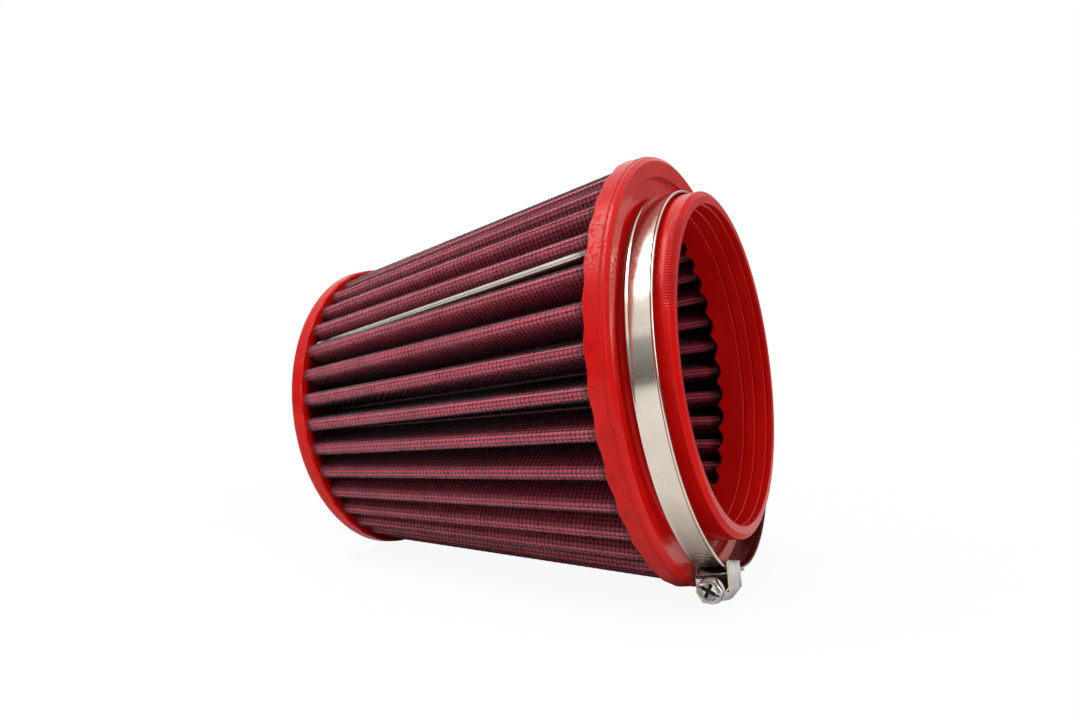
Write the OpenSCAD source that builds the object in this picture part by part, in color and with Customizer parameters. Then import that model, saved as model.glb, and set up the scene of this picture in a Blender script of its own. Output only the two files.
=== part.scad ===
// Cone air filter: a pleated cotton cone between a moulded neck and a closed cap, with a loose worm clamp.
// The neck's axis lies along X. The mouth's centre is the origin, and the cone runs back along -X.
// Places along the axis are distances behind the mouth, and angles run from +Z towards +Y.

/* [Neck] */
// Inside radius of the neck, which takes a 100 mm intake pipe
neck_bore_r = 50; // [48.5:0.25:51]
// Wall thickness of the neck
neck_wall = 4; // [3:0.25:5]
// Distance from the mouth to the floor of the clamp recess
neck_len = 15; // [14.5:0.25:20]
// Width of the bevel around the outer edge of the mouth
mouth_bevel_w = 1.7; // [0.5:0.1:2.2]
// Length of that bevel along the neck
mouth_bevel_len = 0.9; // [0.3:0.1:1.4]
// Depth of the moulded grooves inside the neck
groove_depth = 0.35; // [0.1:0.05:1]
// Width of the moulded grooves inside the neck
groove_w = 0.9; // [0.4:0.1:1.6]
// Distance from the mouth to the first of the grooves
groove_start = 1.5; // [1.2:0.1:2.5]
// Distance from one groove to the next
groove_step = 4.1; // [3:0.1:4.3]

/* [Flange] */
// Width of the clamp recess, from the neck out to the step of the front face
recess_w = 7; // [6:0.25:9]
// Width of the front face, from the step out to the side wall
face_w = 6.6; // [5.5:0.1:9]
// Wall of moulding around the crests of the pleats
rim_wall = 1.6; // [1.2:0.1:3]
// Distance of the root folds from the bore, at the flange's back face
root_margin = 2; // [1.8:0.1:3.5]
// Depth of the clamp recess below the inner edge of the front face
recess_depth = 1.8; // [0.5:0.1:2.4]
// How far the front face falls back from its inner edge to its corner
face_fall = 0.6; // [0.2:0.1:1.5]
// Radius of the corner between the front face and the side wall
flange_round = 2; // [0.8:0.1:3]
// Web of moulding between the recess floor and the pleat channel
flange_web = 3.4; // [2.4:0.1:6]
// Depth of the channel that the pleats are potted in
channel_depth = 2.8; // [1.5:0.1:5]
// How far the inner lip of the channel stays below the flange's back face
inner_lip_drop = 1.2; // [0.4:0.1:1.6]

/* [Cap] */
// Distance from the flange's back face to the cap's front face
pleat_show = 108.3; // [60:0.5:200]
// Outer radius of the cap
cap_r = 50.6; // [42:0.1:60]
// Wall of the cap around the crests of the pleats
cap_wall = 1.2; // [0.9:0.1:2.5]
// Depth of a pleat at the cap's front face
cap_pleat_depth = 14; // [12:0.1:14.4]
// Thickness of the cap
cap_h = 4.7; // [4:0.1:12]
// Radius of the cap's rear edge
cap_round = 1.6; // [0.5:0.1:1.8]
// Depth of the slot that the pleats are potted in
slot_depth = 2.7; // [1.5:0.1:3]

/* [Pleats] */
// Number of pleats
pleats = 36; // [30:1:37]
// Width over a crest fold
crest_w = 4.6; // [4.2:0.1:5.2]
// Width over a root fold
root_w = 4.6; // [4.6:0.1:5]
// Thickness of the oiled cotton gauze
gauze_t = 1; // [0.6:0.1:1.1]
// Thickness of each wire screen
screen_t = 0.45; // [0.3:0.05:0.5]
// Clearance between the gauze and each screen
layer_gap = 0.05; // [0.03:0.01:0.08]
// Turn of the pleats between the neck and the cap, in degrees
cap_turn = -1.5; // [-4:0.5:4]
// Clearance between the pleats and the mouldings that hold them
pot_gap = 0.2; // [0.1:0.05:0.25]

/* [Seam] */
// Angle of the seam valley around the axis
seam_a = -59.5; // [-180:0.5:180]
// Thickness of the two end flaps pressed together
flap_t = 1.2; // [0.8:0.1:1.3]
// Distance of the clip's outer face below the crests
clip_drop = 0.9; // [0.4:0.1:3]
// Width of the seam clip
clip_w = 2.2; // [2:0.1:2.4]
// Sheet thickness of the seam clip
clip_t = 0.4; // [0.2:0.05:0.45]
// Length of the clip's legs along the flaps
clip_leg = 4; // [2:0.25:5]

/* [Clamp] */
// How much larger the slackened loop's inner radius is than the neck's outer radius
loop_slack = 4.3; // [3:0.1:4.6]
// Width of the clamp band
band_w = 8; // [6:0.25:8.5]
// Thickness of the clamp band
band_t = 0.7; // [0.4:0.05:0.9]
// Height of the band's raised edges above its face
band_rim_h = 0.35; // [0.1:0.05:0.5]
// Width of the band's raised edges
band_rim_w = 0.9; // [0.5:0.1:1.4]
// Gap between the loop and the top of the neck that it hangs on
hang_gap = 0.3; // [0.2:0.05:0.5]
// Distance of the band's rear edge in front of the recess floor
loop_clear = 2.5; // [2.3:0.1:3]
// Yaw of the slack loop, in degrees
loop_yaw = 1.15; // [0:0.05:1.2]
// Pitch of the slack loop, in degrees
loop_pitch = 1.8; // [0:0.1:1.9]
// Angle of the screw housing around the loop
housing_a = -163; // [-170:0.5:-150]
// Tilt of the housing on the slack band, in degrees, with the screw's head away from the loop
housing_tilt = 6; // [0:0.5:6]
// How far the loose housing has slipped across the band, towards the mouth
housing_slip = 0.4; // [0:0.1:0.6]
// Length of the housing along the screw
housing_len = 12.5; // [10:0.25:14]
// Sheet thickness of the housing
housing_t = 0.6; // [0.5:0.05:0.8]
// Length of the tail past the housing's centre, on the side away from the screw's head, in degrees
tail_a = 13; // [8:1:25]

/* [Clamp screw] */
// Radius of the worm
worm_r = 2.5; // [2.2:0.1:2.9]
// Width across the flats of the hexagon head
hex_af = 6.5; // [5.5:0.5:6.5]
// Height of the hexagon head
hex_h = 3.2; // [2.5:0.1:6]
// Radius of the hexagon's face inside its chamfer
hex_face_r = 3.1; // [2.5:0.1:3.2]
// Radius of the collar under the head
collar_r = 3.8; // [3.8:0.1:4.4]
// Thickness of the collar
collar_t = 1; // [0.6:0.1:1.6]
// Distance of the collar in front of the housing
collar_gap = 1; // [0.3:0.1:1.5]
// Distance of the collar outwards from the band's slot in the housing
collar_rise = 0.85; // [0.3:0.05:1.2]
// Radius of the screw's neck in the housing's end plate
journal_r = 1.7; // [1.4:0.1:1.9]
// Width of the driver slot
driver_slot_w = 0.6; // [0.4:0.1:1]
// Depth of the driver slot and the cross recess
driver_depth = 1.4; // [0.8:0.1:2]
// Length of the arms of the cross recess
cross_len = 4.2; // [3:0.1:4.8]
// Width of the arms of the cross recess
cross_w = 1.1; // [0.8:0.1:1.4]
// Turn of the driver slot as the screw rests, in degrees
slot_turn = 30; // [-90:5:90]
// Running clearance of the screw in its housing
run_gap = 0.08; // [0.04:0.01:0.1]
// End play of the screw between the housing's end plates
end_play = 0.15; // [0.08:0.01:0.3]

/* [Hidden] */
$fn = 120;
arc_pts = 5;
pu_red = [0.72, 0.07, 0.06];
gauze_red = [0.55, 0.10, 0.22];
wire_grey = [0.22, 0.21, 0.22];
steel = [0.78, 0.76, 0.72];
zinc = [0.75, 0.75, 0.66];

neck_r = neck_bore_r + neck_wall;
recess_r = neck_r + recess_w;
flange_r = recess_r + face_w;
face_s = neck_len - recess_depth;
channel_s = neck_len + flange_web;
flange_s = channel_s + channel_depth;
lip_s = flange_s - inner_lip_drop;
cap_s = flange_s + pleat_show;
slot_s = cap_s + slot_depth;
pack_start = channel_s + pot_gap;
pack_end = slot_s - pot_gap;
pitch = 360 / pleats;
pack_t = gauze_t + 2 * (layer_gap + screen_t);
crest_mid = crest_w / 2 - pack_t / 2;
root_mid = root_w / 2 - pack_t / 2;
slot_off = pack_t / 2 + pot_gap;
// Radii over the crest folds and inside the root folds, at the flange's back face and the cap's front face
crest_r_neck = flange_r - rim_wall;
crest_r_cap = cap_r - cap_wall;
root_r_neck = neck_bore_r + root_margin;
root_r_cap = crest_r_cap - cap_pleat_depth;
// Chamfers, small edge breaks, the fillet at the foot of the neck and the overrun of cuts
edge_cut = 0.5;
edge_break = 0.3;
neck_fillet = 1;
over = 1;
// Clearance between the flaps and the clip, and where on the seam valley's walls the outer screen stops
flap_clear = 0.1;
seam_stop = 0.45;

function share(s) = (s - flange_s) / (cap_s - flange_s);
function crest_r(s) = crest_r_neck + (crest_r_cap - crest_r_neck) * share(s);
function root_r(s) = root_r_neck + (root_r_cap - root_r_neck) * share(s);
function turn(s) = cap_turn * share(s);
function polar(r, a) = [r * cos(a), r * sin(a)];
function arc(c, r, a0, a1, n) = [for (i = [0:n]) c + polar(r, a0 + (a1 - a0) * i / n)];
function smooth(x) = x <= 0 ? 0 : x >= 1 ? 1 : x * x * (3 - 2 * x);

// Puts a shape drawn along z, behind the mouth, on to the filter's own axis.
module behind_mouth() rotate([0, -90, 0]) children();

// A pleat's crest arc and root arc are joined by their inner common tangent, which has the same
// direction for every layer. crest_half() is half the angle that the crest arc turns through.
function crest_c(s) = crest_r(s) - crest_w / 2;
function root_c(s) = root_r(s) + root_w / 2;
function crest_half(s) =
    let (to_root = polar(root_c(s), pitch / 2) - [crest_c(s), 0])
    atan2(to_root[1], to_root[0]) - acos((crest_mid + root_mid) / norm(to_root));
function root_half(s) = crest_half(s) - pitch / 2;
function crest_a(s, k) = seam_a + turn(s) + (k + 0.5) * pitch;

// Crest and root folds of one layer surface, off outwards of the pack's middle surface
function crest_fold(s, k, off) =
    let (a = crest_a(s, k), half = crest_half(s))
    arc(polar(crest_c(s), a), crest_mid + off, a - half, a + half, arc_pts - 1);
function root_fold(s, k, off, n) =
    let (a = crest_a(s, k) + pitch / 2, half = root_half(s))
    arc(polar(root_c(s), a), root_mid - off, a + 180 + half, a + 180 - half, n);

// Outer end of the flaps, and a point beside the seam given by its side and its radius
function flap_tip(s) = crest_r(s) - clip_drop - clip_t - flap_clear;
function beside_seam(s, side, r) =
    let (a = seam_a + turn(s)) polar(r, a) + side * [-sin(a), cos(a)];
// Where a flap side meets the root fold or, when the fold is narrower than the flaps, the valley's wall
function flap_base(s, fold_r, half_t) =
    root_c(s) + (fold_r > half_t ? -sqrt(fold_r * fold_r - half_t * half_t)
        : (half_t - fold_r * sin(root_half(s))) * tan(root_half(s)) - fold_r * cos(root_half(s)));
function flap_fold(s, off, half_t, tip) =
    let (fold = root_fold(s, pleats - 1, off, arc_pts), fold_r = root_mid - off,
        base = flap_base(s, fold_r, half_t),
        start = fold_r > half_t ? [fold[0]] : [], end = fold_r > half_t ? [fold[arc_pts]] : [])
    concat(start, [beside_seam(s, -half_t, base), beside_seam(s, -half_t, tip),
        beside_seam(s, half_t, tip), beside_seam(s, half_t, base)], end);

// The point on a wall of the seam valley where the outer screen stops. Every layer has it, so that
// the walls of the layers are split alike.
function seam_wall(s, off, k, side) =
    let (crest = crest_fold(s, k, off), root = root_fold(s, side < 0 ? -1 : pleats - 1, off, arc_pts - 1),
        top = side < 0 ? crest[0] : crest[arc_pts - 1], low = side < 0 ? root[arc_pts - 1] : root[0])
    low + (top - low) * seam_stop;

// The outline from one wall of the seam valley around to the other, clear of the flaps
function open_outline(s, off) = concat(
    [seam_wall(s, off, 0, -1)],
    [for (k = [0:pleats - 2]) each concat(crest_fold(s, k, off), root_fold(s, k, off, arc_pts - 1))],
    crest_fold(s, pleats - 1, off),
    [seam_wall(s, off, pleats - 1, 1)]);
// The closed outline, whose seam valley holds the flaps when half_t is above zero
function ring_outline(s, off, half_t, tip) = concat(open_outline(s, off),
    half_t > 0 ? flap_fold(s, off, half_t, tip) : root_fold(s, pleats - 1, off, arc_pts));

function raised(outline, s) = [for (p = outline) [p[0], p[1], s]];

// A layer between an outer and an inner outline at two stations. An open layer has two end faces.
module layer(outer0, inner0, outer1, inner1, closed) {
    n = len(outer0);
    last = closed ? n - 1 : n - 2;
    points = concat(raised(outer0, pack_start), raised(inner0, pack_start),
        raised(outer1, pack_end), raised(inner1, pack_end));
    sides = [for (i = [0:last]) let (j = (i + 1) % n) each [
        [i, 2 * n + i, 2 * n + j], [i, 2 * n + j, j],
        [n + i, n + j, 3 * n + j], [n + i, 3 * n + j, 3 * n + i]]];
    ends = [for (i = [0:last]) let (j = (i + 1) % n) each [
        [i, j, n + j, n + i], [3 * n + i, 3 * n + j, 2 * n + j, 2 * n + i]]];
    edges = closed ? [] : [[0, n, 3 * n, 2 * n], [n - 1, 3 * n - 1, 4 * n - 1, 2 * n - 1]];
    polyhedron(points, concat(sides, ends, edges), convexity = 10);
}

module neck_moulding() {
    grooves = [for (i = [0:2]) let (s = groove_start + i * groove_step) each [
        [neck_bore_r, s + groove_w], [neck_bore_r + groove_depth, s + groove_w * 0.7],
        [neck_bore_r + groove_depth, s + groove_w * 0.3], [neck_bore_r, s]]];
    crest_out = crest_r(pack_start) + pot_gap;
    root_in = root_r(lip_s) - pot_gap;
    profile = concat(
        [[neck_bore_r, 0], [neck_r - mouth_bevel_w, 0], [neck_r, mouth_bevel_len]],
        arc([neck_r + neck_fillet, neck_len - neck_fillet], neck_fillet, 180, 90, 4),
        [[recess_r, neck_len], [recess_r, face_s + edge_break], [recess_r + edge_break, face_s]],
        arc([flange_r - flange_round, face_s + face_fall + flange_round], flange_round, -90, 0, 5),
        [[flange_r, flange_s - edge_cut], [flange_r - edge_cut, flange_s], [crest_out, flange_s],
            [crest_out, channel_s], [root_in, channel_s], [root_in, lip_s - edge_cut],
            [root_in - edge_cut, lip_s], [neck_bore_r, lip_s]],
        [for (i = [2:-1:0]) for (j = [0:3]) grooves[4 * i + j]]);
    color(pu_red) behind_mouth() rotate_extrude() polygon(profile);
}

// The slot in the cap has the pack's own outline, because the cap is moulded around the pleats.
module end_cap() {
    outer = ring_outline(cap_s, slot_off, flap_t / 2 + pot_gap, flap_tip(cap_s) + pot_gap);
    inner = ring_outline(pack_end, -slot_off, 0, 0);
    n = len(outer);
    m = len(inner);
    color(pu_red) behind_mouth() difference() {
        rotate_extrude() polygon(concat(
            [[0, cap_s], [cap_r - edge_break, cap_s], [cap_r, cap_s + edge_break]],
            arc([cap_r - cap_round, cap_s + cap_h - cap_round], cap_round, 0, 90, 4),
            [[0, cap_s + cap_h]]));
        translate([0, 0, cap_s - over]) linear_extrude(slot_depth + over)
            polygon(concat(outer, inner), [[for (i = [0:n - 1]) i], [for (i = [0:m - 1]) n + i]]);
    }
}

module gauze() {
    off = gauze_t / 2;
    color(gauze_red) behind_mouth() layer(
        ring_outline(pack_start, off, flap_t / 2, flap_tip(pack_start)),
        ring_outline(pack_start, -off, 0, 0),
        ring_outline(pack_end, off, flap_t / 2, flap_tip(pack_end)),
        ring_outline(pack_end, -off, 0, 0), true);
}

module outer_screen() {
    low = gauze_t / 2 + layer_gap;
    high = low + screen_t;
    color(wire_grey) behind_mouth() layer(
        open_outline(pack_start, high), open_outline(pack_start, low),
        open_outline(pack_end, high), open_outline(pack_end, low), false);
}

module inner_screen() {
    low = -gauze_t / 2 - layer_gap;
    high = low - screen_t;
    color(wire_grey) behind_mouth() layer(
        ring_outline(pack_start, low, 0, 0), ring_outline(pack_start, high, 0, 0),
        ring_outline(pack_end, low, 0, 0), ring_outline(pack_end, high, 0, 0), true);
}

// A folded strip with its crown outwards and its two legs along the flaps, cut off square to the axis.
// Its profile has x outwards and y across the seam, and runs straight from one station to the other.
module seam_clip() {
    half = clip_w / 2;
    bend = clip_t * 0.6;
    s0 = flange_s + pot_gap;
    s1 = cap_s - pot_gap;
    start = beside_seam(s0, 0, crest_r(s0) - clip_drop);
    run = beside_seam(s1, 0, crest_r(s1) - clip_drop) - start;
    mid_a = seam_a + turn((s0 + s1) / 2);
    outwards = run * polar(1, mid_a);
    across = run * polar(1, mid_a + 90);
    run_len = norm([outwards, across, s1 - s0]);
    color(steel) behind_mouth() intersection() {
        translate([start[0], start[1], s0]) rotate(mid_a)
            rotate([-asin(across / run_len), atan2(outwards, s1 - s0), 0])
            translate([0, 0, -over]) linear_extrude(run_len + 2 * over) polygon([
                [-clip_leg, -half], [-bend, -half], [0, bend - half], [0, half - bend], [-bend, half],
                [-clip_leg, half], [-clip_leg, half - clip_t], [-clip_t, half - clip_t],
                [-clip_t, clip_t - half], [-clip_leg, clip_t - half]]);
        translate([0, 0, s0]) cylinder(r = flange_r, h = s1 - s0);
    }
}

// The clamp is drawn about its own loop, whose top hangs on the neck a little askew.
loop_r = neck_r + loop_slack;
loop_drop = loop_slack - hang_gap;
loop_at = neck_len - loop_clear - band_w / 2;
module on_loop() translate([-loop_at, 0, -loop_drop])
    rotate([0, -loop_pitch, loop_yaw]) behind_mouth() children();

// Angles of the band count from the housing, away from the screw's head. The band starts under the
// housing, goes once around, passes under the worm and ends as a tail over its own start.
// Its raised edges stop short of the housing, where the band lies flat on itself.
lap_start = -5;
ramp_a = 20;
ramp_start = 360 + lap_start - 2 - ramp_a;
lap_gap = 0.1;
tail_lift = band_t + lap_gap;
step_a = 3;
rim_clear_a = 4;
function band_r(a) = loop_r + tail_lift * smooth((a - ramp_start) / ramp_a);
function band_side(add, a0, a1) = let (n = round((a1 - a0) / step_a))
    [for (i = [0:n]) let (a = a0 + (a1 - a0) * i / n) polar(band_r(a) + add, a)];
function backwards(list) = [for (i = [len(list) - 1:-1:0]) list[i]];
module band_strip(low, high, w, a0, a1) linear_extrude(w, center = true)
    polygon(concat(band_side(low, a0, a1), backwards(band_side(high, a0, a1))));

module clamp_band() {
    color(steel) on_loop() rotate(housing_a) mirror([0, 1, 0]) {
        band_strip(0, band_t, band_w, lap_start, 360 + tail_a);
        for (side = [-1, 1]) translate([0, 0, side * (band_w - band_rim_w) / 2]) band_strip(
            band_t / 2, band_t + band_rim_h, band_rim_w, tail_a + rim_clear_a, ramp_start + ramp_a);
    }
}

// The housing's frame: x runs along the screw to its head, y outwards from the loop, z across the band.
// The loose housing is tilted, so its slot is deep enough for the band's two curved layers.
housing_half = housing_len / 2;
end_plate = 1;
side_gap = 0.1;
base_gap = 0.15;
tip_r = journal_r * 0.8;
tail_r = loop_r + tail_lift + band_t;
function sagitta(r) = r - sqrt(r * r - housing_half * housing_half);
slot_top = tail_r + lap_gap + housing_half * sin(housing_tilt) - sagitta(tail_r);
slot_base = loop_r - sagitta(loop_r) - housing_half * sin(housing_tilt) - base_gap;
worm_at = slot_top + collar_r + collar_rise;
barrel_r = worm_r + run_gap + housing_t;
cheek = band_w / 2 + housing_slip + side_gap;
module at_housing() on_loop() rotate(housing_a) rotate([0, 0, -90]) mirror([1, 0, 0])
    translate([0, slot_top, housing_slip]) rotate(housing_tilt) translate([0, -slot_top, 0]) children();
module along_screw(x) translate([x, worm_at, 0]) rotate([0, 90, 0]) children();

// A section of the housing at right angles to the screw: upright cheeks, slanted shoulders and a round back
function barrel(half, r, low) = concat(
    [[half, low], [half, worm_at + r * sqrt(2) - half]],
    arc([0, worm_at], r, 45, 135, 10),
    [[-half, worm_at + r * sqrt(2) - half], [-half, low]]);
module housing_block(x, length, half, r, low)
    translate([x, 0, 0]) rotate([0, 90, 0]) linear_extrude(length) polygon(barrel(half, r, low));

module clamp_housing() {
    inside = housing_len - 2 * end_plate;
    color(zinc) at_housing() difference() {
        housing_block(-housing_half, housing_len, cheek + housing_t, barrel_r, slot_base - housing_t);
        housing_block(-inside / 2, inside, cheek, worm_r + run_gap, slot_base);
        translate([-housing_half - over, slot_base, -cheek])
            cube([housing_len + 2 * over, slot_top - slot_base, 2 * cheek]);
        along_screw(0) cylinder(r = journal_r + run_gap, h = housing_len);
        along_screw(-housing_len) cylinder(r = tip_r + run_gap, h = housing_len);
    }
}

module clamp_screw() {
    worm_len = housing_len - 2 * end_plate - 2 * end_play;
    collar_x = housing_half + collar_gap;
    head_x = collar_x + collar_t;
    head_len = hex_h + collar_t / 2;
    color(zinc) at_housing() difference() {
        union() {
            along_screw(-housing_half - edge_break) cylinder(r = tip_r, h = housing_half);
            along_screw(-worm_len / 2) cylinder(r = worm_r, h = worm_len);
            along_screw(0) cylinder(r = journal_r, h = collar_x + collar_t / 2);
            along_screw(collar_x) cylinder(r = collar_r, h = collar_t);
            along_screw(head_x - collar_t / 2) intersection() {
                cylinder(r = hex_af / 2 / cos(30), h = head_len, $fn = 6);
                cylinder(r1 = hex_face_r + head_len * tan(60), r2 = hex_face_r, h = head_len);
            }
        }
        along_screw(head_x + hex_h) rotate(slot_turn) {
            cube([2 * hex_af, driver_slot_w, 2 * driver_depth], center = true);
            cube([cross_len, cross_w, 2 * driver_depth], center = true);
            cube([cross_w, cross_len, 2 * driver_depth], center = true);
        }
    }
}

neck_moulding();
end_cap();
gauze();
outer_screen();
inner_screen();
seam_clip();
clamp_band();
clamp_housing();
clamp_screw();
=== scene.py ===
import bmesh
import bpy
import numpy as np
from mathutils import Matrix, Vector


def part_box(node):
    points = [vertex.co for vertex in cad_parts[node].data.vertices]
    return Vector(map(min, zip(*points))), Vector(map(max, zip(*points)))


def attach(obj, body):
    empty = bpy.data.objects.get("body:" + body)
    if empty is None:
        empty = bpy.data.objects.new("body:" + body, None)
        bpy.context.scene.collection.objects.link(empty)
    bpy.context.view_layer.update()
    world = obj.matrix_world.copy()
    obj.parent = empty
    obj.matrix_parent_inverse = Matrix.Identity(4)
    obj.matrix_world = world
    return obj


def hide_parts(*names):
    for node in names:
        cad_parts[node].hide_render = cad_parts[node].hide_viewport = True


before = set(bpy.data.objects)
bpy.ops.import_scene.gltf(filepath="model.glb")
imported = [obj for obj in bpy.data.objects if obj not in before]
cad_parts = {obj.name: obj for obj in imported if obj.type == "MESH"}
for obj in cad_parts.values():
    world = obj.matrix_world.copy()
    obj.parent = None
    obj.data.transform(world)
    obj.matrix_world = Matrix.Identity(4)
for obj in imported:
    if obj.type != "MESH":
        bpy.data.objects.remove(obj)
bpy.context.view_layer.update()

# %% [markdown]
# # A cone air filter, dressed over its CAD
#
# The CAD is the fixed frame: it has the real sizes, and nothing here moves it. This lesson gives
# the filter its looks: woven wire over pleated gauze, satin polyurethane, a polished band and a
# zinc-plated screw. Everything is worked out in the part's own frame. The neck's axis is X, the
# mouth's centre is the origin, and Z is up.

MM = 0.001

# %% [markdown]
# ## The camera
#
# The photograph was taken from the left and a little in front of the mouth. The camera's place,
# its turn and its lens were found by fitting the circles of the neck, flange and cap, so here they
# are plain numbers. The filter keeps its own level frame, and the camera takes up its tilt.

# %% Camera
PHOTO_WIDTH_PX, FOCAL_PX = 1080, 911.08
lens = bpy.data.cameras.new("camera")
lens.sensor_width = 36
lens.lens = FOCAL_PX / PHOTO_WIDTH_PX * lens.sensor_width
lens.clip_start, lens.clip_end = 0.01, 20
camera = bpy.data.objects.new("camera", lens)
bpy.context.collection.objects.link(camera)
cam_right, cam_up = Vector((0.88518, 0.45277, -0.10703)), Vector((0.12004, 0, 0.99277))
cam_back = cam_right.cross(cam_up)
cam_at = Vector((0.07495, -0.28040, -0.00811))
camera.matrix_world = Matrix.Translation(cam_at) @ Matrix((cam_right, cam_up, cam_back)).transposed().to_4x4()
bpy.context.scene.camera = camera
bpy.context.scene.view_settings.view_transform = "Standard"
print("lens in mm:", round(lens.lens, 2))

# %% [markdown]
# ## Helpers for materials
#
# A hex colour is what a screen shows, and a shader wants linear light, so one function turns the
# one into the other. Another adds a node with its settings and links, which keeps each material
# readable as a list, and one turns a real size in millimetres into a pattern's scale.

# %% Material helpers
RAMP, RANGE, MIX, MATH = "ShaderNodeValToRGB", "ShaderNodeMapRange", "ShaderNodeMix", "ShaderNodeMath"
NOISE, BUMP, MARK = "ShaderNodeTexNoise", "ShaderNodeBump", "ShaderNodeAttribute"


def linear(code):
    """The linear RGBA of an sRGB hex colour: c/12.92 below 0.04045, else ((c + 0.055)/1.055)^2.4."""
    c = np.array([int(code[i:i + 2], 16) / 255 for i in (1, 3, 5)])
    c = np.where(c < 0.04045, c / 12.92, ((c + 0.055) / 1.055) ** 2.4)
    return (*c.tolist(), 1.0)


def lumps(size_mm):
    """The scale that makes the lumps of a pattern about size_mm across."""
    return 1 / (size_mm * MM)


def add(tree, kind, links=None, stops=(), **settings):
    """A new node. links gives each socket a value, an output, or a node for its first output.

    stops are the (place, hex colour) pairs of a colour ramp, and settings are the node's own options."""
    node = tree.nodes.new(kind)
    for name, value in settings.items():
        setattr(node, name, value)
    for i, (place, code) in enumerate(stops):
        stop = node.color_ramp.elements[i] if i < 2 else node.color_ramp.elements.new(place)
        stop.position, stop.color = place, linear(code)
    for socket, value in (links or {}).items():
        value = value.outputs[0] if isinstance(value, bpy.types.Node) else value
        if isinstance(value, bpy.types.NodeSocket):
            tree.links.new(value, node.inputs[socket])
        else:
            node.inputs[socket].default_value = value
    return node


def new_material(name, *marks):
    """A material's tree, its shader, the place in the part in metres, and the stored numbers that it reads.

    A piece that doesn't store one of these numbers reads 0."""
    material = bpy.data.materials.new(name)
    material.use_nodes = True
    tree = material.node_tree
    tree.nodes.clear()
    shader = add(tree, "ShaderNodeBsdfPrincipled")
    add(tree, "ShaderNodeOutputMaterial", {"Surface": shader})
    place = add(tree, "ShaderNodeTexCoord").outputs["Object"]
    read = [add(tree, MARK, attribute_name=mark).outputs["Fac"] for mark in marks]
    return material, tree, shader, place, *read


print("a mid grey in linear light:", round(linear("#808080")[0], 3))

# %% [markdown]
# ## Moulded polyurethane
#
# The neck and the cap are cast from soft red polyurethane. Cast against a polished mould it comes
# out satin, with a clear reflection at shallow angles, a faint waviness, and tiny pits where air
# bubbles met the mould. A dielectric shader with a low roughness gives the first, and the last two
# are bumps, because they are far finer than the mesh; each pit is also painted darker, as painted
# shade in its hollow. Numbers stored on the mouldings say where the mould was grained, where it left
# a row of fine teeth and where dirt settled. A fourth is painted shade: it darkens the faces deep
# between the pleats, where shade falls, and a fifth dulls the mouth's bevel, which was trimmed with a
# blade after casting.

# %% Polyurethane
# the real teeth are 0.65 mm apart, and 390 around the mouth draw them at 0.87 mm so that they show
TEETH_AROUND = 390.0


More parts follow.
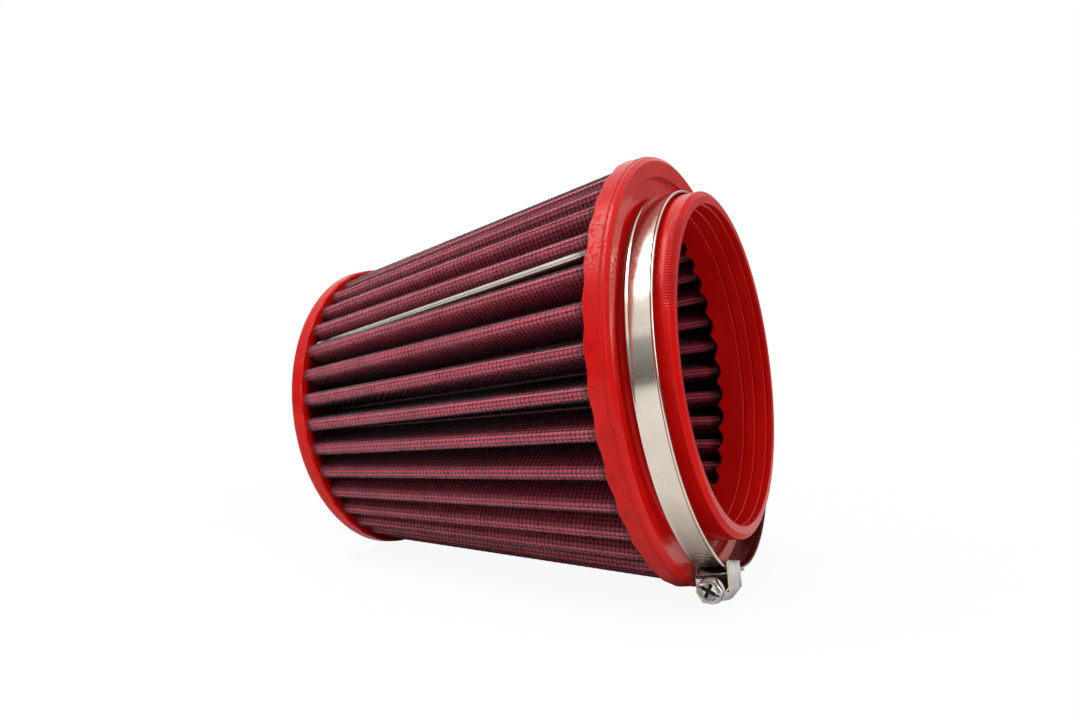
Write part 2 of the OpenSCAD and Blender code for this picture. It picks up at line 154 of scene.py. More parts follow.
def make_polyurethane():
    material, tree, shader, place, grain, teeth, stain, shade, trimmed = new_material(
        "cast_polyurethane", "grain", "teeth", "stain", "shade", "trimmed")
    cloud = add(tree, NOISE, {"Vector": place, "Scale": lumps(18.0), "Detail": 3.0})
    tint = add(tree, RAMP, {"Fac": cloud}, [(0.3, "#B90C09"), (0.7, "#C8120D")])
    cells = add(tree, "ShaderNodeTexVoronoi", {"Vector": place, "Scale": lumps(1.6), "Randomness": 1.0})
    # only the few cells with a high random value hold a pit, so pits lie some 5 mm apart
    cell = add(tree, "ShaderNodeSeparateColor", {"Color": cells.outputs["Color"]})
    chosen = add(tree, MATH, {0: cell, 1: 0.93}, operation="GREATER_THAN")
    near = add(tree, MATH, {0: cells, 1: 0.16}, operation="LESS_THAN")
    pit = add(tree, MATH, {0: near, 1: chosen}, operation="MULTIPLY")
    # each pit is also painted darker: painted shade in its hollow
    pitted = add(tree, MIX, {"Factor": pit, 6: tint, 7: linear("#5A0806")}, data_type="RGBA")
    specks = add(tree, NOISE, {"Vector": place, "Scale": lumps(0.8)})
    speck = add(tree, MATH, {0: specks, 1: 0.5}, operation="GREATER_THAN")
    dirt = add(tree, MATH, {0: stain, 1: speck}, operation="MULTIPLY")
    thin_dirt = add(tree, MATH, {0: dirt, 1: 0.5}, operation="MULTIPLY")
    dirty = add(tree, MIX, {"Factor": thin_dirt, 6: pitted.outputs[2], 7: linear("#7A0A08")},
                data_type="RGBA")
    # painted shade: the stored shade number darkens the faces deep between the pleats
    painted_shade_mix = add(tree, MIX, {"Factor": shade, 6: dirty.outputs[2], 7: linear("#240404")}, data_type="RGBA")
    tree.links.new(painted_shade_mix.outputs[2], shader.inputs["Base Color"])
    sheen = add(tree, NOISE, {"Vector": place, "Scale": lumps(6.0), "Detail": 4.0})
    satin = add(tree, RANGE, {"Value": sheen, "To Min": 0.16, "To Max": 0.26})
    spots = add(tree, NOISE, {"Vector": place, "Scale": lumps(1.3), "Detail": 3.0})
    spot = add(tree, MATH, {0: spots, 1: 0.54}, operation="GREATER_THAN")
    matt = add(tree, MATH, {0: spot, 1: grain}, operation="MULTIPLY")
    thin_matt = add(tree, MATH, {0: matt, 1: 0.35}, operation="MULTIPLY")
    rough = add(tree, MATH, {0: satin, 1: thin_matt}, operation="ADD")
    tree.links.new(rough.outputs[0], shader.inputs["Roughness"])
    swell = add(tree, NOISE, {"Vector": place, "Scale": lumps(7.0)})
    waved = add(tree, BUMP, {"Height": swell, "Distance": 0.05 * MM})
    # the real grain is finer than half a millimetre and would melt away, so it is drawn coarser
    grit = add(tree, NOISE, {"Vector": place, "Scale": lumps(1.0), "Detail": 3.0})
    grain_height = add(tree, MATH, {0: grain, 1: grit}, operation="MULTIPLY")
    grained = add(tree, BUMP, {"Height": grain_height, "Distance": 0.14 * MM, "Normal": waved})
    axes = add(tree, "ShaderNodeSeparateXYZ", {"Vector": place})
    turn = add(tree, MATH, {0: axes.outputs["Y"], 1: axes.outputs["Z"]}, operation="ARCTAN2")
    around = add(tree, MATH, {0: turn, 1: TEETH_AROUND}, operation="MULTIPLY")
    wave = add(tree, MATH, {0: around}, operation="SINE")
    tooth_height = add(tree, MATH, {0: teeth, 1: wave}, operation="MULTIPLY")
    toothed = add(tree, BUMP, {"Height": tooth_height, "Distance": 0.24 * MM, "Normal": grained})
    pit_height = add(tree, MATH, {0: pit, 1: -1.0}, operation="MULTIPLY")
    finished = add(tree, BUMP, {"Height": pit_height, "Distance": 0.08 * MM, "Normal": toothed})
    tree.links.new(finished.outputs[0], shader.inputs["Normal"])
    level = add(tree, RANGE, {"Value": trimmed, "To Min": 0.19, "To Max": 0.04})
    tree.links.new(level.outputs[0], shader.inputs["Specular IOR Level"])
    shader.inputs["IOR"].default_value = 1.47
    return material


polyurethane = make_polyurethane()
print("made", polyurethane.name)

# %% [markdown]
# ## Oiled gauze and coated wire
#
# The cotton gauze is dyed crimson and oiled. Between the wires it bulges, and the oil gives the
# bulges a soft pink shine. Two stored numbers darken it: one is painted shade, deeper towards the
# valleys, and the other darkens the rims of the pack, where the moulding has soaked in. The wires are
# steel dipped in dark epoxy. They are real geometry below, so their material only needs the colour,
# which carries the same painted shade towards the valleys, and the dull gloss of the coating.

# %% Gauze and wire
def make_gauze():
    material, tree, shader, place, height, soak = new_material("oiled_cotton_gauze", "height", "soak")
    cloud = add(tree, NOISE, {"Vector": place, "Scale": lumps(9.0), "Detail": 4.0})
    thread = add(tree, NOISE, {"Vector": place, "Scale": lumps(0.5)})
    half_cloud = add(tree, MATH, {0: cloud, 1: 0.5}, operation="MULTIPLY")
    half_thread = add(tree, MATH, {0: thread, 1: 0.5}, operation="MULTIPLY")
    mixed = add(tree, MATH, {0: half_cloud, 1: half_thread}, operation="ADD")
    dye = add(tree, RAMP, {"Fac": mixed}, [(0.3, "#A01E36"), (0.7, "#DA4664")])
    # painted shade: the cloth darkens from the crests down into the valleys
    valley_shade = add(tree, RAMP, {"Fac": height},
               [(0.0, "#584448"), (0.5, "#8E7C7E"), (0.8, "#D8D0D0"), (0.97, "#FFFFFF")])
    cloth = add(tree, MIX, {"Factor": 1.0, 6: dye, 7: valley_shade}, data_type="RGBA", blend_type="MULTIPLY")
    thin_soak = add(tree, MATH, {0: soak, 1: 0.8}, operation="MULTIPLY")
    soaked = add(tree, MIX, {"Factor": thin_soak, 6: cloth.outputs[2], 7: linear("#58141A")},
                 data_type="RGBA")
    tree.links.new(soaked.outputs[2], shader.inputs["Base Color"])
    threaded = add(tree, BUMP, {"Height": thread, "Distance": 0.12 * MM})
    tree.links.new(threaded.outputs[0], shader.inputs["Normal"])
    shader.inputs["Roughness"].default_value = 0.5
    shader.inputs["Coat Weight"].default_value = 0.4
    shader.inputs["Coat Roughness"].default_value = 0.3
    shader.inputs["Sheen Weight"].default_value = 0.25
    shader.inputs["Sheen Tint"].default_value = linear("#F0A0B4")
    return material


def make_wire():
    material, tree, shader, place, height = new_material("epoxy_coated_wire", "height")
    cloud = add(tree, NOISE, {"Vector": place, "Scale": lumps(3.0)})
    coat = add(tree, RAMP, {"Fac": cloud}, [(0.3, "#40383A"), (0.7, "#6C6062")])
    # painted shade: the wire darkens down into the valleys
    valley_shade = add(tree, RAMP, {"Fac": height}, [(0.0, "#403C3E"), (0.7, "#8C8486"), (0.97, "#FFFFFF")])
    valley_shaded = add(tree, MIX, {"Factor": 1.0, 6: coat, 7: valley_shade}, data_type="RGBA", blend_type="MULTIPLY")
    tree.links.new(valley_shaded.outputs[2], shader.inputs["Base Color"])
    shader.inputs["Metallic"].default_value = 0.5
    shader.inputs["Roughness"].default_value = 0.3
    return material


gauze_cloth, wire_coat = make_gauze(), make_wire()
print("made", gauze_cloth.name, "and", wire_coat.name)

# %% [markdown]
# ## Metals
#
# The band is polished stainless strip, so it mirrors the studio, with fine scratches along its
# length. The screw and its housing are zinc plated: paler, less smooth, and with a faint green and
# yellow tint that changes from place to place. The seam clip is plain bright strip. A stored number
# mixes painted shade, a dark red-brown, into the metals, and a nearly black, half dull material is
# painted shade for faces that lie in shadow.

# %% Metals
def make_metal(name, codes, patch_mm, rough_low, rough_high, grain_mm, grain_depth_mm):
    """A metal with a colour that drifts through some codes and a roughness with a fine grain."""
    material, tree, shader, place, shade = new_material(name, "shade")
    stops = [(0.3 + 0.4 * i / (len(codes) - 1), code) for i, code in enumerate(codes)]
    patches = add(tree, NOISE, {"Vector": place, "Scale": lumps(patch_mm), "Detail": 3.0})
    clean = add(tree, RAMP, {"Fac": patches}, stops)
    # the stored shade number mixes in painted shade, a dark red-brown
    shaded = add(tree, MIX, {"Factor": shade, 6: clean, 7: linear("#2A1210")}, data_type="RGBA")
    tree.links.new(shaded.outputs[2], shader.inputs["Base Color"])
    grain = add(tree, NOISE, {"Vector": place, "Scale": lumps(grain_mm), "Detail": 5.0})
    rough = add(tree, RANGE, {"Value": grain, "From Min": 0.3, "From Max": 0.7,
                              "To Min": rough_low, "To Max": rough_high})
    tree.links.new(rough.outputs[0], shader.inputs["Roughness"])
    scratch = add(tree, NOISE, {"Vector": place, "Scale": lumps(grain_mm), "Detail": 4.0})
    scratched = add(tree, BUMP, {"Height": scratch, "Distance": grain_depth_mm * MM})
    tree.links.new(scratched.outputs[0], shader.inputs["Normal"])
    shader.inputs["Metallic"].default_value = 1.0
    return material


stainless = make_metal("polished_stainless_strip", ["#D0C6B6", "#DCD4C8"], 12.0, 0.12, 0.2, 1.2, 0.004)
zinc = make_metal("bright_zinc_plating", ["#DCD6B4", "#E0E0DA", "#D2C4C8", "#CFE0CC"],
                  2.6, 0.12, 0.24, 1.0, 0.002)
clip_steel = make_metal("bright_steel_strip", ["#BDBBB1", "#D0CEC6"], 10.0, 0.25, 0.36, 0.8, 0.003)
chromate = make_metal("yellow_passivated_zinc", ["#E6D4A6", "#E2DCCB"], 3.0, 0.15, 0.25, 1.0, 0.002)


def make_shade_paint():
    # nearly black, half dull paint for faces in shadow: painted shade
    material, tree, shader, place = new_material("painted_shade_black")
    cloud = add(tree, NOISE, {"Vector": place, "Scale": lumps(1.5)})
    black = add(tree, RAMP, {"Fac": cloud}, [(0.3, "#121210"), (0.7, "#343E36")])
    tree.links.new(black.outputs[0], shader.inputs["Base Color"])
    shader.inputs["Roughness"].default_value = 0.4
    return material


shade_paint = make_shade_paint()
print("made", stainless.name, zinc.name, clip_steel.name, chromate.name, shade_paint.name)

# %% [markdown]
# ## Surfaces from arrays
#
# Every new piece is a grid of points worked out with numpy and handed to the mesh in one go. One
# helper numbers the faces of a grid, which may close on itself in either direction, one makes the
# object, gives it its material and ties it to the CAD, and one stores numbers on its points for
# the material to read. Two smooth curves and the turn from a circle to the part's axes follow.

# %% Mesh helpers
def grid_faces(rows, cols, close_rows=False, close_cols=False):
    """The quads of a grid whose point (i, j) has the number i * cols + j."""
    i = np.arange(rows if close_rows else rows - 1)[:, None]
    j = np.arange(cols if close_cols else cols - 1)[None, :]
    i2, j2 = (i + 1) % rows, (j + 1) % cols
    return np.stack([i * cols + j, i2 * cols + j, i2 * cols + j2, i * cols + j2], -1).reshape(-1, 4)


def make_piece(name, points, faces, material, replaced=(), body="filter"):
    """An object at the origin from points in metres and one or more arrays of faces."""
    groups = [faces] if isinstance(faces, np.ndarray) else faces
    sizes = np.concatenate([np.full(len(g), g.shape[1]) for g in groups])
    corners = np.concatenate([g.ravel() for g in groups])
    mesh = bpy.data.meshes.new(name)
    mesh.vertices.add(len(points))
    mesh.vertices.foreach_set("co", np.ascontiguousarray(points, np.float32).ravel())
    mesh.loops.add(len(corners))
    mesh.loops.foreach_set("vertex_index", corners.astype(np.int32))
    mesh.polygons.add(len(sizes))
    mesh.polygons.foreach_set("loop_start", np.concatenate([[0], np.cumsum(sizes)[:-1]]).astype(np.int32))
    mesh.polygons.foreach_set("use_smooth", np.ones(len(sizes), bool))
    mesh.update(calc_edges=True)
    mesh.materials.append(material)
    piece = bpy.data.objects.new(name, mesh)
    bpy.context.collection.objects.link(piece)
    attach(piece, body)
    if replaced:
        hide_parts(*replaced)
    print(name, "has", int((sizes - 2).sum()), "triangles")
    return piece


def store(piece, **marks):
    """Stores one number per point under each name."""
    for name, values in marks.items():
        layer = piece.data.attributes.new(name, "FLOAT", "POINT")
        layer.data.foreach_set("value", np.ascontiguousarray(values, np.float32).ravel())
    return piece


def smooth(x):
    """0 below 0, 1 above 1 and an even slope between."""
    x = np.clip(x, 0, 1)
    return x * x * (3 - 2 * x)


def hump(x, middle, width):
    """A smooth hump of height 1 about a middle."""
    return np.exp(-((x - middle) / width) ** 2)


def seat(r, angle, s):
    """Radius and distance behind the mouth in mm, and angle in degrees from +Z towards +Y, to metres."""
    a = np.radians(angle)
    r, a, s = np.broadcast_arrays(r, a, s)
    return np.stack([-s, r * np.sin(a), r * np.cos(a)], -1) * MM


print("a grid of 3 by 4 points has", len(grid_faces(3, 4)), "quads")

# %% [markdown]
# ## The folds
#
# The pack is one sheet folded into pleats that taper with the cone. Seen along the axis, a pleat is
# a crest arc, a straight wall, a root arc and another wall. The two arcs are joined by their inner
# common tangent, so a layer that lies further out keeps the same directions, and has only a larger
# crest and a smaller root. The values are those of part.scad.

# %% The outline of a pleat
PLEATS, PITCH = 36, 10.0
FLANGE_S, CAP_S = 21.2, 129.5
CREST_R_NECK, CREST_R_CAP, PLEAT_DEPTH = 66.0, 49.4, 14.0
FOLD_HALF, FOLD_MID = 2.3, 1.3
SEAM_A, CAP_TURN = -59.5, -1.5
PACK_START, PACK_END = 18.6, 132.0
# the flange's outer edge ends a little before the plane that the pleats are measured from
EDGE_S = 19.7


def crest_radius(s):
    """A straight line from 66 mm at the flange to 49.4 mm at the cap."""
    return CREST_R_NECK + (CREST_R_CAP - CREST_R_NECK) * (s - FLANGE_S) / (CAP_S - FLANGE_S)


def pleat_turn(s):
    """The pleats' turn in degrees, which grows evenly from 0 at the flange to -1.5 at the cap."""
    return CAP_TURN * (s - FLANGE_S) / (CAP_S - FLANGE_S)


def fold(u, s, off):
    """A point of a layer and its outward normal, where u counts pleats and off is the layer's offset.

    The crest's centre is at crest radius - 2.3 and the root's at crest radius - 14 + 2.3, half a
    pitch on. With v from one to the other, the crest turns through half = atan2(v) - acos(2.6/|v|)
    each way and the root through half - pitch/2. u runs evenly along arc, wall, arc and wall."""
    u, s = np.broadcast_arrays(np.asarray(u, float), np.asarray(s, float))
    k, t = np.floor(u), u - np.floor(u)
    half_pitch = np.radians(PITCH / 2)
    crest_c, root_c = crest_radius(s) - FOLD_HALF, crest_radius(s) - PLEAT_DEPTH + FOLD_HALF
    vx, vy = root_c * np.cos(half_pitch) - crest_c, root_c * np.sin(half_pitch)
    reach = np.hypot(vx, vy)
    half = np.arctan2(vy, vx) - np.arccos(2 * FOLD_MID / reach)
    root_half = half - half_pitch
    crest_r, root_r = FOLD_MID + off, FOLD_MID - off
    wall = np.sqrt(reach ** 2 - (2 * FOLD_MID) ** 2)
    lengths = np.stack([2 * half * crest_r, wall, 2 * root_half * root_r, wall])
    total = lengths.sum(0)
    ends = np.cumsum(lengths, 0) / total
    on_crest, on_wall, on_root = t < ends[0], t < ends[1], t < ends[2]
    part = np.where(on_crest, t / ends[0], np.where(on_wall, (t - ends[0]) / (ends[1] - ends[0]),
           np.where(on_root, (t - ends[1]) / (ends[2] - ends[1]), (t - ends[2]) / (1 - ends[2]))))
    crest_a = np.radians(SEAM_A + pleat_turn(s) + (k + 0.5) * PITCH)
    root_a, next_a = crest_a + half_pitch, crest_a + 2 * half_pitch

    def arc_point(centre, centre_a, radius, a):
        return np.stack([centre * np.cos(centre_a) + radius * np.cos(a),
                         centre * np.sin(centre_a) + radius * np.sin(a)])

    def unit(a):
        return np.stack([np.cos(a), np.sin(a)])

    down_a, up_a = crest_a + half, next_a - half
    crest_now = crest_a - half + 2 * half * part
    root_now = root_a + np.pi + root_half * (1 - 2 * part)
    low = arc_point(root_c, root_a, root_r, root_a + np.pi + root_half)
    high = arc_point(root_c, root_a, root_r, root_a + np.pi - root_half)
    top_down = arc_point(crest_c, crest_a, crest_r, down_a)
    top_up = arc_point(crest_c, next_a, crest_r, up_a)
    point = np.where(on_crest, arc_point(crest_c, crest_a, crest_r, crest_now),
            np.where(on_wall, top_down + (low - top_down) * part,
            np.where(on_root, arc_point(root_c, root_a, root_r, root_now), high + (top_up - high) * part)))
    normal = np.where(on_crest, unit(crest_now), np.where(on_wall, unit(down_a),
             np.where(on_root, -unit(root_now), unit(up_a))))
    return point, normal, total


def to_part(point, s):
    """Points across the axis, in mm, to metres in the part."""
    s = np.broadcast_to(s, point[0].shape)
    return np.stack([-s, point[1], point[0]], -1) * MM


print("profile of one pleat in mm at the neck and the cap:",
      [round(float(fold(0.0, s, 0.5)[2]), 2) for s in (FLANGE_S, CAP_S)])

# %% [markdown]
# ## The gauze
#
# The cloth is one closed skin: an outer and an inner surface, 1.1 mm apart, joined at both ends.
# It runs into the flange and the cap, where the real one is potted. A grid of 28 points a pleat is
# fine enough for round crests. In the seam's valley the cloth's two ends stand up as flaps.

# %% Gauze and its flaps
POINTS_PER_PLEAT, CLOTH_HALF = 28, 0.55
FLAP_HALF, FLAP_DEPTH, FLAP_CLEAR = 0.6, 13.0, 0.5


def fold_height(point, s):
    """1 at a crest and 0 a pleat's depth below it."""
    return 1 - (crest_radius(s) - np.hypot(*point)) / PLEAT_DEPTH


def make_gauze_pack():
    """The folds at half a cloth's thickness outwards, from flange to cap, and back at as much inwards."""
    u = np.arange(PLEATS * POINTS_PER_PLEAT) / POINTS_PER_PLEAT
    s = np.concatenate([[PACK_START, 21.0, 22.2, 23.4], np.linspace(26, 124, 8),
                        [127.0, 128.0, 129.0, PACK_END]])
    outer_point = fold(u[None], s[:, None], CLOTH_HALF)[0]
    outer = to_part(outer_point, s[:, None])
    inner = to_part(fold(u[None], s[::-1, None], -CLOTH_HALF)[0], s[::-1, None])
    rows = np.concatenate([outer, inner])
    faces = grid_faces(len(rows), len(u), close_rows=True, close_cols=True)
    piece = make_piece("gauze_pack", rows.reshape(-1, 3), faces[:, ::-1],
                       gauze_cloth, ("gauze",))
    height = fold_height(outer_point, s[:, None])
    soaked = np.maximum(1 - smooth((s - 21.6) / 1.8), smooth((s - 127.4) / 1.6))
    soak = np.broadcast_to(soaked[:, None], height.shape)
    # seen from inside it is the crests that lie deep, so the painted shade is turned round
    return store(piece, height=np.concatenate([height, 1 - height[::-1]]),
                 soak=np.concatenate([soak, soak[::-1]]))


def clip_drop(s):
    """How far the seam clip's crown lies below the crests: 0.9 mm at the flange and 3.5 mm at the cap."""
    return 0.9 + 2.6 * (s - FLANGE_S) / (CAP_S - FLANGE_S)


def make_flaps():
    """A flat bar whose section is 1.2 mm wide and runs from the root fold up into the clip."""
    s = np.linspace(PACK_START, PACK_END, 2)
    a = np.radians(SEAM_A + pleat_turn(s))[:, None]
    low = crest_radius(s)[:, None] - FLAP_DEPTH
    high = (crest_radius(s) - clip_drop(s))[:, None] - FLAP_CLEAR
    r = np.concatenate([low, low, high, high], 1)
    side = FLAP_HALF * np.array([[-1, 1, 1, -1]])
    point = np.stack([r * np.cos(a) - side * np.sin(a), r * np.sin(a) + side * np.cos(a)])
    faces = [grid_faces(2, 4, close_cols=True)[:, ::-1], np.array([[0, 1, 2, 3], [7, 6, 5, 4]])]
    return make_piece("gauze_flaps", to_part(point, s[:, None]).reshape(-1, 3), faces,
                      gauze_cloth)


make_gauze_pack()
make_flaps()

# %% [markdown]
# ## The woven screens
#
# Each screen is plain-woven wire with a mesh of about 1.4 mm. One set of wires runs along the
# pleats and the other goes around the pack, up and down every fold, over one wire and under the
# next. A tube with four sides is enough for a wire 0.26 mm thick. The wires sit half in the cloth,
# so that it seems to bulge between them.

# %% Tubes
def tubes(centres, normals, acrosses, radius, sides):
    """Closed tubes along rows of points. A ring's points are centre + radius (normal cos + across sin)."""
    count, length = centres.shape[:2]
    ring = np.arange(sides) * 2 * np.pi / sides
    rings = (centres[:, :, None] + radius * MM * (normals[:, :, None] * np.cos(ring)[:, None]
                                                  + acrosses[:, :, None] * np.sin(ring)[:, None]))
    one = grid_faces(length, sides, close_cols=True)
    step = np.arange(count)[:, None, None] * length * sides
    cap = np.arange(sides)
    caps = np.stack([cap[::-1], (length - 1) * sides + cap])
    return rings.reshape(-1, 3), [(one[None] + step).reshape(-1, 4), (caps[None] + step).reshape(-1, sides)]


def surface_frames(u, s, off):
    """Points of a layer, with unit normals and unit directions along the axis, in the part."""
    point, normal, _ = fold(u, s, off)
    ahead = to_part(fold(u, s + 0.5, off)[0], s + 0.5)
    here = to_part(point, s)
    along = ahead - here
    along /= np.linalg.norm(along, axis=-1, keepdims=True)
    out = np.stack([np.zeros_like(normal[0]), normal[1], normal[0]], -1)
    out -= (out * along).sum(-1, keepdims=True) * along
    out /= np.linalg.norm(out, axis=-1, keepdims=True)
    return here, out, along


print("directions along the pack at a pleat's start:",
      surface_frames(np.array([0.0]), np.array([60.0]), 0.68)[2].round(3))

# %% Screens
WIRES_PER_PLEAT, WIRE_R, MESH_S = 20, 0.13, 1.4


def make_screen(name, off, weave, u_low, u_high, node, sides, points_per_pleat, mesh_s):
    """Wires along the axis at even places of each pleat, and wires around at even distances.

    A wire around lies weave mm out of or into the layer at each wire that it crosses, in turn."""
    u = (np.arange(round(u_low * WIRES_PER_PLEAT), round(u_high * WIRES_PER_PLEAT)) + 0.5) / WIRES_PER_PLEAT
    s = np.array([PACK_START, PACK_END])
    here, out, along = surface_frames(u[:, None], s[None], off)
    across = np.cross(out, along)
    points, faces = tubes(here, out, across, WIRE_R, 4)
    made = [make_piece(name + "_long_wires", points, faces, wire_coat, (node,))]
    height = fold_height(fold(u[:, None], s[None], off)[0], s[None])
    store(made[0], height=np.repeat(height if off > 0 else 1 - height, 4))
    s = np.arange(EDGE_S + 0.3, CAP_S + 1, mesh_s)
    v = np.arange(round(u_low * points_per_pleat), round(u_high * points_per_pleat)) / points_per_pleat
    v = v + 0.5 / points_per_pleat
    here, out, along = surface_frames(v[None], s[:, None], off)
    sign = np.where((np.arange(len(s))[:, None] + np.arange(len(v))[None]) % 2, 1.0, -1.0)[..., None]
    centres = here + out * sign * weave * MM
    height = fold_height(fold(v[None], s[:, None], off)[0], s[:, None])
    for part, rows in enumerate(np.array_split(np.arange(len(s)), 3)):
        points, faces = tubes(centres[rows], out[rows], -along[rows], WIRE_R, sides)
        made.append(make_piece(name + "_round_wires_" + str(part + 1), points, faces,
                               wire_coat))
        store(made[-1], height=np.repeat((height if off > 0 else 1 - height)[rows], sides))
    return made


make_screen("outer_screen", 0.68, 0.14, -0.18, 35.50, "outer_screen", 4, WIRES_PER_PLEAT, MESH_S)
# little of the inner screen shows, deep inside the neck, so only every second wire around is drawn
make_screen("inner_screen", -0.68, 0.0, 0.0, 36.0, "inner_screen", 3, 14, 2 * MESH_S)

# %% [markdown]
# ## The mouldings
#
# A moulding is a profile carried once around the axis. The profile is a list of corners, and each
# corner has its own radius, as a mould maker would draw it. Two points close to each rounded corner
# keep the flats flat where the shading runs over the edge. The flange's back edge follows the
# pleats: where a crest is potted, the poured polyurethane has crept up by a third of a millimetre.
# Inside the neck it left lobes, because each root of the pack stood against the mould.

# %% Profiles
def rounded_profile(corners, steps=4, guard=0.12, longest=1.6):
    """A closed profile of (s, r) points in mm from corners (s, r, corner radius).

    A corner's arc starts radius * tan(turn / 2) before it. Straight runs are split below longest."""
    corner = np.array(corners, float)
    place, radius = corner[:, :2], corner[:, 2]
    back, ahead = np.roll(place, 1, 0) - place, np.roll(place, -1, 0) - place
    back /= np.linalg.norm(back, axis=1, keepdims=True)
    ahead /= np.linalg.norm(ahead, axis=1, keepdims=True)
    half = np.arccos(np.clip((back * ahead).sum(1), -1, 1)) / 2
    reach = radius / np.tan(half)
    t = np.linspace(0, 1, steps + 1)[None, :, None]
    start, end = place + back * reach[:, None], place + ahead * reach[:, None]
    middle = place + (back + ahead) / np.linalg.norm(back + ahead, axis=1, keepdims=True) * (
        radius / np.sin(half))[:, None]
    from_middle = (start - middle)[:, None] * (1 - t) + (end - middle)[:, None] * t
    from_middle *= radius[:, None, None] / np.linalg.norm(from_middle, axis=2, keepdims=True)
    arcs = middle[:, None] + from_middle
    points = np.concatenate([(start + back * guard)[:, None], arcs, (end + ahead * guard)[:, None]], 1)
    points = points.reshape(-1, 2)
    gap = np.linalg.norm(np.roll(points, -1, 0) - points, axis=1)
    split = np.maximum(np.ceil(gap / longest).astype(int), 1)
    row = np.repeat(np.arange(len(points)), split)
    step = np.concatenate([np.arange(n) / n for n in split])[:, None]
    return points[row] * (1 - step) + np.roll(points, -1, 0)[row] * step


def make_revolved(name, profile, around, creep, marks, replaced):
    """The profile turned about the axis. creep(s, r, angle) moves points back, marks are stored numbers."""
    angle = np.arange(around) * 360 / around
    s, r = profile[:, 0, None], profile[:, 1, None]
    moved = s + creep(s, r, angle[None])
    points = seat(np.broadcast_to(r, moved.shape), angle[None], moved)
    faces = grid_faces(len(profile), around, close_rows=True, close_cols=True)
    area = (profile[:, 0] * (np.roll(profile[:, 1], -1) - np.roll(profile[:, 1], 1))).sum()
    piece = make_piece(name, points.reshape(-1, 3), faces if area > 0 else faces[:, ::-1],
                       polyurethane, replaced)
    return store(piece, **{name: value(s, r, angle[None]) + np.zeros(moved.shape)
                           for name, value in marks.items()})


print("a square with one rounded corner has",
      len(rounded_profile([(0, 0, 1), (9, 0, 0.1), (9, 9, 0.1), (0, 9, 0.1)])), "points")

# %% The neck and the cap
NECK_BORE_R, NECK_R, NECK_LEN, RECESS_R, FACE_S, FLANGE_R = 50.0, 54.0, 15.0, 61.0, 13.2, 67.6
BEVEL_R, BEVEL_S, SHOULDER_R, SHOULDER_S = 52.3, 0.9, 65.9, 0.4
CHANNEL_S, CHANNEL_R, LIP_S, LIP_R = 19.5, 66.0, 20.0, 51.8
CREEP_DEPTH, LOBE_DEPTH, GROOVE_DEPTH = 0.28, 2.0, 0.33
GROOVES = [1.5 + 4.1 * i for i in range(3)]
CAP_R, CAP_BACK_S = 50.6, 134.2


def crest_wave(angle, s):
    """1 over the crest of a pleat and -1 over a root."""
    return np.cos(np.radians(PLEATS * (angle - SEAM_A - pleat_turn(s)) - 180))


def root_lobe(angle, s):
    """The square root of (1 - crest wave) / 2: 1 over a root, and 0 in a sharp cusp over each crest."""
    return np.sqrt(np.clip(0.5 - 0.5 * crest_wave(angle, s), 0, 1))


neck_profile = rounded_profile(
    [(0, NECK_BORE_R, 0.15), (0, BEVEL_R, 0.25), (BEVEL_S, NECK_R, 0.35), (NECK_LEN, NECK_R, 1.0),
     (NECK_LEN, RECESS_R, 0.25), (FACE_S, RECESS_R, 0.3), (FACE_S - SHOULDER_S, SHOULDER_R, 0.5),
     (FACE_S + 0.5, 67.3, 0.35), (14.7, FLANGE_R - 0.25, 0.1), (14.85, FLANGE_R, 0.08),
     (15.1, FLANGE_R, 0.08), (15.3, FLANGE_R - 0.2, 0.12),
     (EDGE_S, FLANGE_R - 0.05, 0.4), (EDGE_S + 0.15, 66.4, 0.1), (CHANNEL_S, CHANNEL_R, 0.1),
     (CHANNEL_S, LIP_R + 0.6, 0.3), (LIP_S, LIP_R, 0.3), (LIP_S, NECK_BORE_R, 0.4)]
    + [place for g in GROOVES[::-1] for place in (
        (g + 0.9, NECK_BORE_R, 0.1), (g + 0.65, NECK_BORE_R + GROOVE_DEPTH, 0.06),
        (g + 0.25, NECK_BORE_R + GROOVE_DEPTH, 0.06), (g, NECK_BORE_R, 0.1))])
make_revolved(
    "neck_moulding_skin", neck_profile, 360,
    lambda s, r, a: (
        CREEP_DEPTH * crest_wave(a, EDGE_S) * hump(s, EDGE_S, 0.9) * smooth(r - 65) * (s > 16)
        - LOBE_DEPTH * root_lobe(a, EDGE_S) * smooth((s - 16.5) / 3) * smooth((52.35 - r) / 0.3)),
    {"stain": lambda s, r, a: hump(s, 18.0, 1.5) * (r > 66) * np.clip(crest_wave(a, EDGE_S), 0, 1) ** 1.5,
     "grain": lambda s, r, a: np.maximum(
         smooth((s - 15.6) / 0.4) * (r > 66) * hump(a - 360, -56, 13),
         (s > 1.5) * (r > 53.5) * smooth((s - 2) / 3) * hump(a - 360, -61, 9))
         + 0.6 * (s < 0.6) * (r < 51.0) * hump(a, 178, 22),
     # painted shade on the flange's faces between the pleats and on the lobes' walls
     "shade": lambda s, r, a: 0.85 * (s > 18) * smooth((64.5 - r) / 1.5) * (r > 51),
     "trimmed": lambda s, r, a: (s < 1.3) * smooth((r - 52.2) / 0.3) * (r < NECK_R - 0.1),
     "teeth": lambda s, r, a: (s < 1.3) * (r > 52.2) * smooth((a - 284) / 8) * smooth((324 - a) / 8)},
    ("neck_moulding",))
cap_profile = rounded_profile(
    [(CAP_S, 0.01, 0.001), (CAP_S, CAP_R - 1.6, 0.5), (CAP_S - 0.35, CAP_R - 0.7, 0.3),
     (CAP_S, CAP_R, 0.35), (CAP_BACK_S, CAP_R, 1.6), (CAP_BACK_S, 0.01, 0.001)], longest=2.5)
